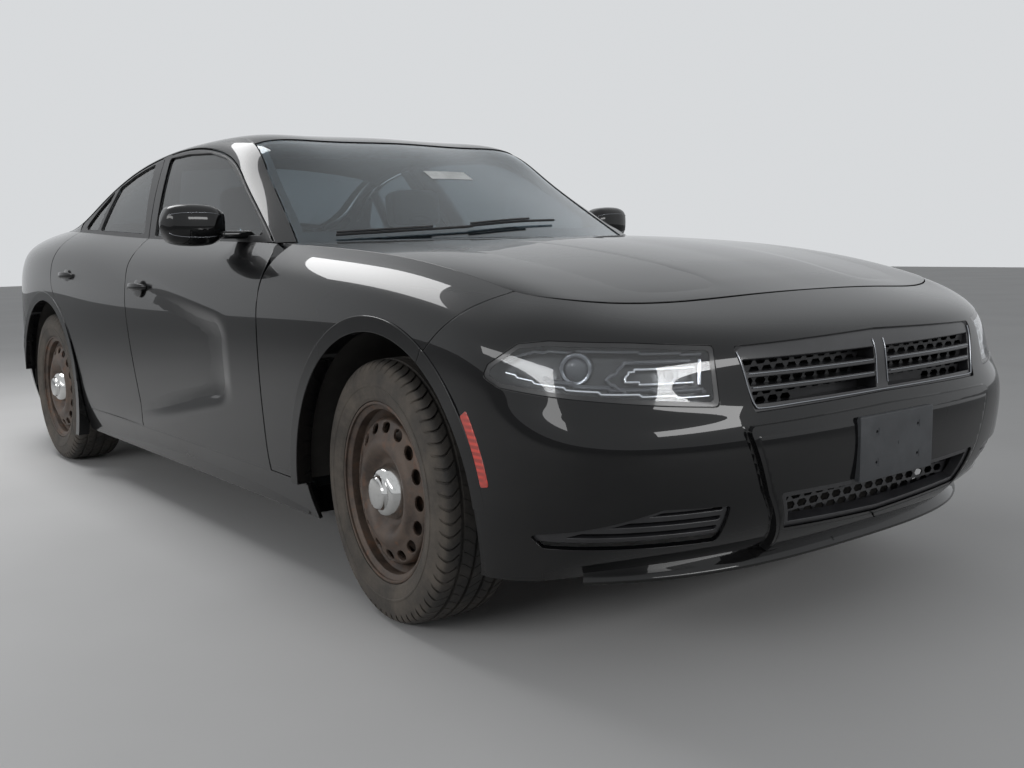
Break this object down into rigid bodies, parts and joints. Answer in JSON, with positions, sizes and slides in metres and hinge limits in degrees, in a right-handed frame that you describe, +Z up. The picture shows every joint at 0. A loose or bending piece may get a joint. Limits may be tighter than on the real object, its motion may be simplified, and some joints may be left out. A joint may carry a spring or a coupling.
{
  "type": "police patrol car",
  "caption": "Full-size four-door patrol saloon in gloss black on steel wheels, with opening doors, hood and boot lid, steering and rolling wheels.",
  "frame": {"origin": "on the ground at the middle of the car's length and width", "axes": "+X forward, +Y to the car's left, +Z up"},
  "size_m": [5.053, 2.116, 1.4747],
  "materials": {
    "black_paint": "gloss black paint with clear coat",
    "dark_glass": "dark tinted safety glass",
    "clear_glass": "laminated glass with a blue cast",
    "lamp_glass": "clear moulded lens",
    "red_lens": "red moulded lens",
    "black_trim": "textured black plastic",
    "grey_plastic": "dark grey moulded plastic",
    "floor_steel": "sealed and painted steel",
    "cloth": "black woven cloth",
    "iron": "cast iron with surface rust",
    "exhaust_steel": "heat-dulled steel",
    "wheel_steel": "black steel wheel under brown brake dust",
    "tyre_rubber": "dusty black rubber"
  },
  "bodies": {
    "body": {"body_sides": "black_paint", "front_wings": "black_paint", "front_bumper": "black_paint", "rear_bumper": "black_paint", "roof_panel": "black_paint", "sills": "black_paint", "fixed_glass": "clear_glass", "headlamps": "lamp_glass", "tail_lamps": "red_lens", "grilles": "black_trim", "cabin_trim": "black_trim", "steering_wheel": "black_trim", "wheel_liners": "black_trim", "plate_bracket": "grey_plastic", "floor_pan": "floor_steel", "middle_pillars": "floor_steel", "front_seats": "cloth", "rear_bench": "cloth", "engine_block": "iron", "rear_suspension": "iron", "front_subframe": "iron", "exhaust": "exhaust_steel"},
    "hood": {"hood": "black_paint"},
    "boot_lid": {"boot_lid": "black_paint", "boot_lid_lamp": "red_lens"},
    "front_door_left": {"front_door_left": "black_paint", "front_door_glass_left": "dark_glass", "mirror_left": "black_paint"},
    "front_door_right": {"front_door_right": "black_paint", "front_door_glass_right": "dark_glass", "mirror_right": "black_paint"},
    "rear_door_left": {"rear_door_left": "black_paint", "rear_door_glass_left": "dark_glass"},
    "rear_door_right": {"rear_door_right": "black_paint", "rear_door_glass_right": "dark_glass"},
    "front_knuckle_left": {"front_knuckle_left": "iron"},
    "front_knuckle_right": {"front_knuckle_right": "iron"},
    "front_wheel_left": {"front_wheel_left": "wheel_steel", "front_tyre_left": "tyre_rubber"},
    "front_wheel_right": {"front_wheel_right": "wheel_steel", "front_tyre_right": "tyre_rubber"},
    "rear_wheel_left": {"rear_wheel_left": "wheel_steel", "rear_tyre_left": "tyre_rubber"},
    "rear_wheel_right": {"rear_wheel_right": "wheel_steel", "rear_tyre_right": "tyre_rubber"}
  },
  "joints": [
    {"name": "front_door_left_hinge", "type": "hinge", "parent": "body", "child": "front_door_left", "pos_m": [0.845, 0.918, 0.6], "axis": [0, 0, -1], "range_deg": [0, 68]},
    {"name": "rear_door_left_hinge", "type": "hinge", "parent": "body", "child": "rear_door_left", "pos_m": [-0.4, 0.918, 0.6], "axis": [0, 0, -1], "range_deg": [0, 64]},
    {"name": "steering_left", "type": "hinge", "parent": "body", "child": "front_knuckle_left", "pos_m": [1.58, 0.7455, 0.361], "axis": [0, 0, 1], "range_deg": [-28, 38]},
    {"name": "front_door_right_hinge", "type": "hinge", "parent": "body", "child": "front_door_right", "pos_m": [0.845, -0.918, 0.6], "axis": [0, 0, 1], "range_deg": [0, 68]},
    {"name": "rear_door_right_hinge", "type": "hinge", "parent": "body", "child": "rear_door_right", "pos_m": [-0.4, -0.918, 0.6], "axis": [0, 0, 1], "range_deg": [0, 64]},
    {"name": "steering_right", "type": "hinge", "parent": "body", "child": "front_knuckle_right", "pos_m": [1.58, -0.7455, 0.361], "axis": [0, 0, 1], "range_deg": [-28, 38]},
    {"name": "hood_hinge", "type": "hinge", "parent": "body", "child": "hood", "pos_m": [0.815, 0, 1.008], "axis": [0, -1, 0], "range_deg": [0, 52]},
    {"name": "boot_lid_hinge", "type": "hinge", "parent": "body", "child": "boot_lid", "pos_m": [-1.806, 0, 1.106], "axis": [0, 1, 0], "range_deg": [0, 75]},
    {"name": "front_wheel_left_spin", "type": "hinge", "parent": "front_knuckle_left", "child": "front_wheel_left", "pos_m": [1.58523, 0.80527, 0.361], "axis": [0.0872, 0.9962, 0], "continuous": true},
    {"name": "rear_wheel_left_spin", "type": "hinge", "parent": "body", "child": "rear_wheel_left", "pos_m": [-1.472, 0.81, 0.361], "axis": [0, 1, 0], "continuous": true},
    {"name": "front_wheel_right_spin", "type": "hinge", "parent": "front_knuckle_right", "child": "front_wheel_right", "pos_m": [1.57477, -0.80527, 0.361], "axis": [0.0872, 0.9962, 0], "continuous": true},
    {"name": "rear_wheel_right_spin", "type": "hinge", "parent": "body", "child": "rear_wheel_right", "pos_m": [-1.472, -0.81, 0.361], "axis": [0, 1, 0], "continuous": true}
  ]
}
